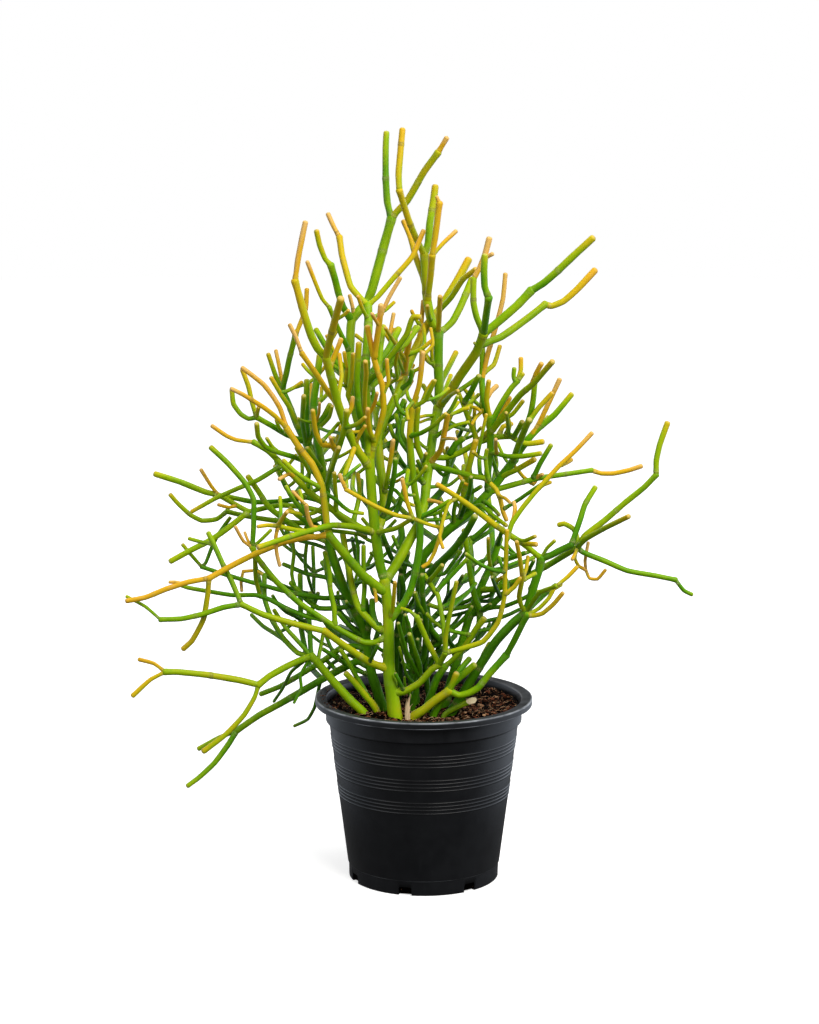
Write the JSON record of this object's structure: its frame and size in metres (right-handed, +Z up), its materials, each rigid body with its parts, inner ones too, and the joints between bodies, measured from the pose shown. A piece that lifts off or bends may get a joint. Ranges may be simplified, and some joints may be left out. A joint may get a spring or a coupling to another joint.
{
  "type": "potted pencil-stem euphorbia",
  "caption": "Leafless succulent shrub of pencil-thick green stems with orange tips, standing in soil in a round black nursery pot with a rolled rim and ringed sides.",
  "frame": {"origin": "middle of the pot's underside, on the floor", "axes": "+Z up along the pot's axis; the plant's best side faces -Y; +X is to the right of a viewer who faces that side"},
  "size_m": [0.7113, 0.3544, 0.9636],
  "materials": {
    "pot_plastic": "satin",
    "soil": "rough",
    "stem_skin": "satin",
    "dry_sheath": "rough"
  },
  "bodies": {
    "root": {"pot": "pot_plastic", "soil": "soil", "stem_main": "stem_skin", "stem_left": "stem_skin", "stem_left_stub": "stem_skin", "stem_back_left": "stem_skin", "stem_front_right": "stem_skin", "stem_right": "stem_skin", "stem_back_right": "stem_skin", "stem_middle": "stem_skin", "stem_inner_left": "stem_skin", "stem_inner_right": "stem_skin", "stem_inner_back": "stem_skin", "stem_behind_trunk": "stem_skin", "stem_cut_right": "stem_skin", "stem_cut_stub": "stem_skin", "dry_sheath": "dry_sheath"}
  },
  "joints": []
}
